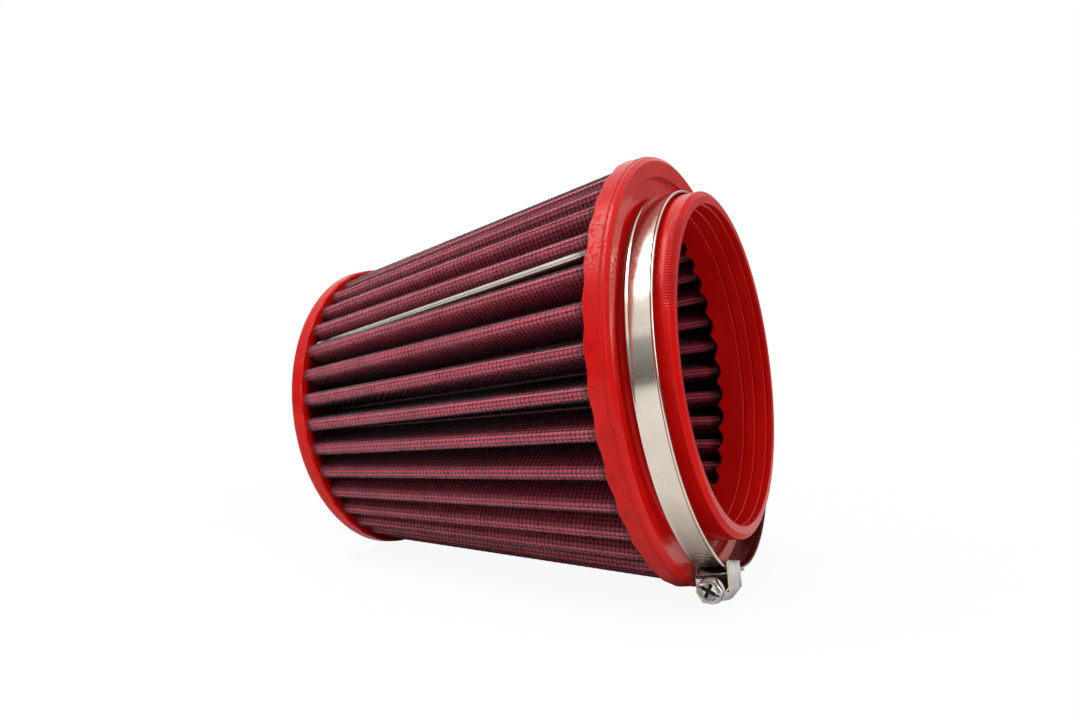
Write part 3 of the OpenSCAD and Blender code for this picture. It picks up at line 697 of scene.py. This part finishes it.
make_revolved(
    "end_cap_skin", cap_profile, 360,
    lambda s, r, a: -0.3 * crest_wave(a, CAP_S) * hump(s, CAP_S, 0.7) * np.clip((r - 46) / 3, 0, 1),
    {"stain": lambda s, r, a: hump(s, 131.6, 1.1) * (r > 50) * np.clip(crest_wave(a, CAP_S), 0, 1) ** 1.5,
     # painted shade on the cap's face deep between the pleats
     "shade": lambda s, r, a: 0.9 * (s < CAP_S + 1) * smooth((48.3 - r) / 1.2)},
    ("end_cap",))

# %% [markdown]
# ## The clamp's band
#
# The band is spring strip with its two edges rolled up. Here it is one profile carried along the
# loop: the loop's radius is constant until the last stretch, which climbs over the band's own
# start to pass under the worm. The last stretch is pressed with slanted grooves that the worm
# bites into, so they are real dents in the surface.

# %% Band
LOOP_R, LOOP_AT, LOOP_DROP, LOOP_YAW, LOOP_PITCH, HOUSING_A = 58.3, 8.5, 4.0, 1.15, 1.8, -163.0
BAND_W, BAND_T, RIM_H, RIM_W, TAIL_LIFT = 8.0, 0.7, 0.24, 0.9, 0.8
PRESSED_DEPTH, THREAD_PITCH, THREAD_START, RIB_PITCH, RIBS_START, RIBS_END = 0.16, 2.1, 338.0, 1.7, 10.0, 64.0
LAP_START, RAMP_START, RAMP_A, TAIL_A = -5.0, 333.0, 20.0, 13.0


def turn_about(axis, degrees):
    """A 3 by 3 turn about X, Y or Z."""
    return np.array(Matrix.Rotation(np.radians(degrees), 3, axis))


LOOP_TURN = (turn_about("Z", LOOP_YAW) @ turn_about("Y", -LOOP_PITCH) @ turn_about("Y", -90.0)
             @ turn_about("Z", HOUSING_A))


def on_loop(r, angle, across):
    """From the loop's own frame, with angles from the housing away from the head, to the part."""
    a = np.radians(angle)
    r, a, across = np.broadcast_arrays(r, a, across)
    points = np.stack([r * np.cos(a), -r * np.sin(a), across], -1) @ LOOP_TURN.T
    return (points + np.array([-LOOP_AT, 0, -LOOP_DROP])) * MM


def make_band():
    """Profile height: 0.7 mm, and at the edges a rolled rim that rises as the square of a sine.

    The grooves lower both faces by 0.16 mm times the square of a wave along the middle of the strip."""
    coarse, fine = 1.0, 0.25
    angle = np.concatenate([np.arange(LAP_START, RIBS_START, coarse), np.arange(RIBS_START, RIBS_END, fine),
                            np.arange(RIBS_END, THREAD_START - 2, coarse),
                            np.arange(THREAD_START - 2, 360 + TAIL_A + 0.01, fine)])
    edge = np.array([0, 0.06, 0.18, 0.35, 0.55, 0.75, 0.9, 1.1, 1.5])
    middle = np.linspace(-2.3, 2.3, 12)
    outer_z = np.concatenate([edge - BAND_W / 2, middle, BAND_W / 2 - edge[::-1]])
    inset = BAND_W / 2 - np.abs(outer_z)
    roll = np.where(inset < RIM_W, np.sin(np.pi * np.clip(inset / RIM_W, 0, 1) * 0.75 + np.pi / 4) ** 2, 0)
    roll = roll * np.clip(inset / 0.06, 0, 1) ** 0.5
    rim = smooth((angle - TAIL_A - 4) / 2) * smooth((RAMP_START + RAMP_A - angle) / 2)
    base = LOOP_R + TAIL_LIFT * smooth((angle - RAMP_START) / RAMP_A)
    along = np.radians(angle) * LOOP_R
    pressed = smooth((angle - THREAD_START) / 9)
    wave = 0.5 + 0.5 * np.cos(2 * np.pi * (along[:, None] + 0.35 * outer_z[None]) / THREAD_PITCH)
    dent = PRESSED_DEPTH * pressed[:, None] * wave ** 2 * smooth((2.6 - np.abs(outer_z))[None] / 0.8)
    # ribs along the front edge of the other side: really 1 mm apart, and 1.7 mm here so that they show
    ribbed = smooth((angle - RIBS_START) / 4) * smooth((RIBS_END - angle) / 6)
    ridges = np.cos(2 * np.pi * along[:, None] / RIB_PITCH)
    rib = PRESSED_DEPTH * ribbed[:, None] * ridges * hump(outer_z[None], -2.7, 0.8)
    bevel = 0.12 * (1 - np.clip(inset / 0.18, 0, 1)) ** 2
    outer = base[:, None] + BAND_T - bevel[None] + RIM_H * rim[:, None] * roll[None] - dent
    inner = base[:, None] + bevel[None] - dent + RIM_H * 0.5 * rim[:, None] * roll[None] + rib
    low, high = on_loop(inner, angle[:, None], outer_z[None]), on_loop(outer, angle[:, None], outer_z[None])
    rows = np.concatenate([low, high[:, ::-1]], 1)
    count = rows.shape[1]
    faces = grid_faces(len(angle), count, close_cols=True)
    half = len(outer_z)
    i = np.arange(half - 1)
    ends = np.concatenate([np.stack([i + 1, i, count - 1 - i, count - 2 - i], 1)[:, ::-1],
                           np.stack([i + 1, i, count - 1 - i, count - 2 - i], 1) + (len(angle) - 1) * count])
    piece = make_piece("clamp_band_strip", rows.reshape(-1, 3), [faces, ends],
                       stainless, ("clamp_band",))
    # painted shade and painted reflection: the pressed end darkens where it faces down, with narrow light
    # lines left in it, and the inner face darkens over the red neck, lighter on its ribs
    dark_out = 0.9 * (smooth((angle - 343) / 9)[:, None] * (1 - 0.85 * wave ** 6)) * (inset > 0.6)
    painted_dark = smooth((angle - 4) / 4) * smooth((100 - angle) / 20)
    dark_in = 0.6 * painted_dark[:, None] * (1 - 0.9 * rib / PRESSED_DEPTH)
    return store(piece, shade=np.concatenate([dark_in + 0 * dark_out, dark_out[:, ::-1]], 1))


make_band()

# %% [markdown]
# ## The seam clip
#
# The clip is a strip that was folded over the cloth's two end flaps. Its crown is round, and its two
# legs run down into the valley. The profile is a half circle with two legs, carried from the flange
# to the cap. It starts a little below the crests and sinks between them on its way to the cap.

# %% Clip
CLIP_W, CLIP_T, CLIP_LEG = 2.2, 0.4, 4.0


def make_clip():
    """Profile: an outer half circle of 1.1 mm and an inner one of 0.7 mm, with straight legs."""
    ring = np.radians(np.linspace(-90, 90, 15))
    half = CLIP_W / 2
    out = np.stack([half * np.cos(ring) * 0.75 - half * 0.75, half * np.sin(ring)], 1)
    inn = np.stack([(half - CLIP_T) * np.cos(ring) * 0.75 - half * 0.75, (half - CLIP_T) * np.sin(ring)], 1)
    leg_out, leg_in = np.array([[-CLIP_LEG, -half]]), np.array([[-CLIP_LEG, -half + CLIP_T]])
    flip = np.array([[1, -1]])
    profile = np.concatenate([leg_out, out, leg_out * flip, leg_in * flip, inn[::-1], leg_in])
    s = np.linspace(FLANGE_S - 0.3, CAP_S + 0.3, 24)[:, None]
    r = crest_radius(s) - clip_drop(s) + profile[None, :, 0]
    a = np.radians(SEAM_A + pleat_turn(s))
    side = profile[None, :, 1]
    point = np.stack([r * np.cos(a) - side * np.sin(a), r * np.sin(a) + side * np.cos(a)])
    faces = grid_faces(len(s), len(profile), close_cols=True)
    caps = np.arange(len(profile))
    ends = np.stack([caps[::-1], caps + (len(s) - 1) * len(profile)])
    piece = make_piece("seam_clip_strip", to_part(point, s).reshape(-1, 3), [faces[:, ::-1], ends[:, ::-1]],
                       clip_steel, ("seam_clip",))
    # painted shade darkens the clip's last stretch before the cap, where it sinks between the crests
    return store(piece, shade=0.8 * smooth((s - 112) / 16) + 0 * r)


make_clip()

# %% [markdown]
# ## The screw and its housing
#
# These two keep the CAD's shape, which already has the hexagon, the slots and the folded housing.
# Pressed and turned metal has no knife edges, so a merged copy of each gets a small bevel. Painted
# shade, a nearly black material, covers the driver's recess and a sheet on the front plate, and the
# housing's front edge is a rolled rim with a turned-up lip under the strip.

# %% The housing's own frame
HOUSING_HALF, HOUSING_T, HOUSING_TILT, HOUSING_SLIP = 6.25, 0.6, 6.0, 0.4
COLLAR_R, COLLAR_RISE, WORM_R, CHEEK, HEAD_AT, RECESS_DEPTH = 3.8, 0.85, 2.5, 4.5, 11.45, 1.4
TAIL_R = LOOP_R + TAIL_LIFT + BAND_T


def sagitta(r):
    """How far an arc of radius r sinks below its chord over the housing's length."""
    return r - np.sqrt(r * r - HOUSING_HALF ** 2)


SLOT_TOP = TAIL_R + 0.1 + HOUSING_HALF * np.sin(np.radians(HOUSING_TILT)) - sagitta(TAIL_R)
SLOT_BASE = LOOP_R - sagitta(LOOP_R) - HOUSING_HALF * np.sin(np.radians(HOUSING_TILT)) - 0.15
WORM_AT = SLOT_TOP + COLLAR_R + COLLAR_RISE
BARREL_R = WORM_R + 0.08 + HOUSING_T


def in_housing(x, y, z):
    """From the housing's frame, x along the screw to its head and y outwards, to the part in metres."""
    x, y, z = np.broadcast_arrays(np.asarray(x, float), y, z)
    tilt = np.radians(HOUSING_TILT)
    along = x * np.cos(tilt) - (y - SLOT_TOP) * np.sin(tilt)
    out = x * np.sin(tilt) + (y - SLOT_TOP) * np.cos(tilt) + SLOT_TOP
    points = np.stack([out, along, z + HOUSING_SLIP], -1) @ LOOP_TURN.T
    return (points + np.array([-LOOP_AT, 0, -LOOP_DROP])) * MM


def barrel(half, r, low, steps=10):
    """The housing's section: upright cheeks, shoulders at 45 degrees and a round back, as (z, y)."""
    a = np.radians(np.linspace(45, 135, steps))
    shoulder = WORM_AT + r * np.sqrt(2) - half
    back = np.stack([r * np.cos(a), WORM_AT + r * np.sin(a)], 1)
    return np.concatenate([[[half, low], [half, shoulder]], back, [[-half, shoulder], [-half, low]]])


print("the screw's axis lies", round(float(WORM_AT), 2), "mm from the middle of the loop")

# %% Bevelled copies, rim, lip and painted shade
def make_bevelled(node, material, body, width_mm, dark=None):
    """A copy of a CAD node with its doubles merged, smooth faces and a bevel on each sharp edge."""
    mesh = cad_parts[node].data.copy()
    mesh.name = node + "_finished"
    work = bmesh.new()
    work.from_mesh(mesh)
    bmesh.ops.remove_doubles(work, verts=work.verts, dist=1e-6)
    bmesh.ops.dissolve_limit(work, angle_limit=np.radians(1), verts=work.verts, edges=work.edges)
    for face in work.faces:
        face.smooth = True
        # faces that dark picks out take the second material, painted shade
        face.material_index = int(dark is not None and dark(np.array(face.calc_center_median())))
    mesh.materials.clear()
    mesh.materials.append(material)
    mesh.materials.append(shade_paint)
    work.to_mesh(mesh)
    work.free()
    piece = bpy.data.objects.new(node + "_finished", mesh)
    bpy.context.collection.objects.link(piece)
    bevel = piece.modifiers.new("edges", "BEVEL")
    bevel.width, bevel.segments = width_mm * MM, 2
    bevel.limit_method, bevel.angle_limit = "ANGLE", np.radians(28)
    bevel.harden_normals = True
    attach(piece, body)
    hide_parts(node)
    painted_dark = sum(face.material_index for face in mesh.polygons)
    print(node, "has", len(mesh.polygons), "faces before its bevel, with grease on", painted_dark)
    return piece


def in_recess(centre):
    """Is a face of the screw inside the driver's slots? It lies below the head's face and near the axis."""
    foot = in_housing(0, WORM_AT, 0)
    axis = (in_housing(1, WORM_AT, 0) - foot) / MM
    along = (centre - foot) @ axis / MM
    aside = np.linalg.norm((centre - foot) / MM - along * axis)
    return HEAD_AT - RECESS_DEPTH - 0.05 < along < HEAD_AT - 0.03 and aside < 3.0


def make_swept(name, path, ring, material):
    """A closed tube along a path of (x, y, z), with a ring of (x, side) about each point."""
    path = np.array(path, float)
    ahead = np.gradient(path[:, 1:], axis=0)
    ahead /= np.linalg.norm(ahead, axis=1, keepdims=True)
    side = np.stack([ahead[:, 1], -ahead[:, 0]], 1)
    yz = path[:, None, 1:] + ring[None, :, 1:2] * side[:, None]
    points = in_housing(path[:, None, 0] + ring[None, :, 0], yz[..., 0], yz[..., 1])
    count = len(ring)
    cap = np.arange(count)
    return make_piece(name, points.reshape(-1, 3), [grid_faces(len(path), count, close_cols=True),
                      np.stack([cap[::-1], (len(path) - 1) * count + cap])], material)


make_bevelled("clamp_housing", zinc, "filter", 0.12)
# painted shade fills the driver's recess
make_bevelled("clamp_screw", zinc, "clamp_screw", 0.08, in_recess)
turn = np.linspace(0, 2 * np.pi, 10, endpoint=False)
circle = np.stack([np.cos(turn), np.sin(turn)], 1)
# the rim runs from the front cheek to the middle of the back, which is the last of it that shows
edge = barrel(CHEEK + HOUSING_T - 0.35, BARREL_R - 0.35, SLOT_BASE - HOUSING_T + 0.35)[:6:-1]
make_swept("housing_rim", np.column_stack([np.full(len(edge), HOUSING_HALF + 0.1), edge[:, 1], edge[:, 0]]),
           circle * [0.45, 0.35], chromate)
lip_z = np.linspace(-4.4, 3.0, 6)
lip = np.column_stack([np.full(6, HOUSING_HALF + 0.2), np.full(6, SLOT_TOP + 0.22), lip_z])
make_swept("housing_lip", lip, circle * [0.4, 0.2], zinc)
# a sheet of painted shade lies on the plate under the strip and down one side of the head
plate = np.array([(5.0, SLOT_TOP + 0.3), (5.0, SLOT_TOP + 1.0), (2.5, SLOT_TOP + 1.4), (-2.5, WORM_AT + 0.6),
                  (-4.5, WORM_AT + 0.6), (-4.5, SLOT_TOP + 0.3)])
low_high = np.stack([in_housing(x, plate[:, 1], plate[:, 0])
                     for x in (HOUSING_HALF - 0.02, HOUSING_HALF + 0.04)])
ends = np.arange(len(plate))
make_piece("housing_shade_sheet", low_high.reshape(-1, 3),
           [grid_faces(2, len(plate), close_cols=True), np.stack([ends[::-1], ends + len(plate)])],
           shade_paint)

# %% [markdown]
# ## The studio
#
# The filter lies on a white table: it leans on the clamp's housing and on the cap's rear rim, so
# the table slopes by about 9 degrees in the part's frame. A camera ray sees the table and the
# world as white, and the table still shows a soft shadow. The studio's walls are grey and only
# reflections see them, which gives the metal its dark and light bands.

# %% Table
housing_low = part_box("clamp_housing")[0].z
CAP_RIM = Vector((-0.1326, 0, -0.0506))
touch = Vector((-0.0065, 0, housing_low))
slope = (touch - CAP_RIM).normalized()
table_normal = Vector((-slope.z, 0, slope.x))


def make_table():
    """A round disc in the plane through the two places that the filter leans on."""
    ring = np.linspace(0, 2 * np.pi, 64, endpoint=False)
    radii = np.array([0.02, 0.2, 0.6, 1.2])
    flat = np.stack([radii[:, None] * np.cos(ring), radii[:, None] * np.sin(ring)], -1).reshape(-1, 2)
    centre = np.array(CAP_RIM + slope * 0.06)
    points = centre + flat[:, :1] * np.array(slope) + flat[:, 1:] * np.array((0.0, 1.0, 0.0))
    mesh = bpy.data.meshes.new("table")
    faces = grid_faces(4, 64, close_cols=True).tolist() + [list(range(64))]
    mesh.from_pydata(points.tolist(), [], faces)
    material = bpy.data.materials.new("white_table")
    material.use_nodes = True
    tree = material.node_tree
    tree.nodes.clear()
    path = add(tree, "ShaderNodeLightPath")
    paint = add(tree, "ShaderNodeBsdfDiffuse", {"Color": linear("#E6E6E6")})
    glow = add(tree, "ShaderNodeEmission", {"Color": (1, 1, 1, 1), "Strength": 1.0})
    place = add(tree, "ShaderNodeTexCoord").outputs["Object"]
    reach = add(tree, "ShaderNodeVectorMath", {0: place, 1: tuple(centre)}, operation="DISTANCE")
    white = add(tree, RANGE, {"Value": reach.outputs["Value"], "From Min": 0.1, "From Max": 0.4,
                              "To Min": 0.93, "To Max": 1.0})
    seen = add(tree, MATH, {0: path.outputs["Is Camera Ray"], 1: white}, operation="MULTIPLY")
    mix = add(tree, "ShaderNodeMixShader", {"Fac": seen, 1: paint, 2: glow})
    add(tree, "ShaderNodeOutputMaterial", {"Surface": mix})
    mesh.materials.append(material)
    table = bpy.data.objects.new("table", mesh)
    bpy.context.collection.objects.link(table)
    return table


table = make_table()
print("the table slopes by", round(float(np.degrees(np.arctan2(-slope.z, slope.x))), 1), "degrees")


# %% Walls, world and lamps
def make_walls():
    """An open grey cylinder around the table, seen only in reflections."""
    ring = np.linspace(0, 2 * np.pi, 48, endpoint=False)
    points = np.array([[1.5 * np.cos(a), 1.5 * np.sin(a), z] for z in (-0.25, 0.7) for a in ring])
    mesh = bpy.data.meshes.new("walls")
    mesh.from_pydata(points.tolist(), [], grid_faces(2, 48, close_cols=True).tolist())
    material = bpy.data.materials.new("grey_walls")
    material.use_nodes = True
    tree = material.node_tree
    tree.nodes.clear()
    height = add(tree, "ShaderNodeSeparateXYZ", {"Vector": add(tree, "ShaderNodeTexCoord").outputs["Object"]})
    light = add(tree, RANGE, {"Value": height.outputs["Z"], "From Min": 0.05, "From Max": 0.55,
                              "To Min": 0.15, "To Max": 0.4})
    glow = add(tree, "ShaderNodeEmission", {"Color": (1, 1, 1, 1), "Strength": light})
    add(tree, "ShaderNodeOutputMaterial", {"Surface": glow})
    mesh.materials.append(material)
    walls = bpy.data.objects.new("walls", mesh)
    bpy.context.collection.objects.link(walls)
    walls.visible_camera = walls.visible_diffuse = walls.visible_shadow = walls.visible_transmission = False


make_walls()
world = bpy.data.worlds.new("studio")
bpy.context.scene.world = world
world.use_nodes = True
tree = world.node_tree
tree.nodes.clear()
path = add(tree, "ShaderNodeLightPath")
mirrored = add(tree, MATH, {0: path.outputs["Is Glossy Ray"], 1: path.outputs["Is Transmission Ray"]},
               operation="MAXIMUM")
direct = add(tree, MATH, {0: path.outputs["Is Camera Ray"], 1: mirrored}, operation="MAXIMUM")
strength = add(tree, RANGE, {"Value": direct, "To Min": 0.45, "To Max": 1.0})
back = add(tree, "ShaderNodeBackground", {"Color": (1, 1, 1, 1), "Strength": strength})
add(tree, "ShaderNodeOutputWorld", {"Surface": back})


def add_lamp(name, place, target, size, power):
    """A square soft lamp at a place in metres that faces a target."""
    data = bpy.data.lights.new(name, "AREA")
    data.energy, data.size = power, size
    lamp = bpy.data.objects.new(name, data)
    lamp.location = place
    lamp.rotation_mode = "QUATERNION"
    lamp.rotation_quaternion = (Vector(target) - Vector(place)).to_track_quat("-Z", "Y")
    bpy.context.collection.objects.link(lamp)


add_lamp("key_softbox", (-0.15, -0.35, 0.95), (-0.06, 0, 0), 0.7, 9.0)
add_lamp("fill_softbox", (0.95, -0.5, 0.4), (-0.03, 0, 0), 0.6, 5.2)
print("lamps:", 2)
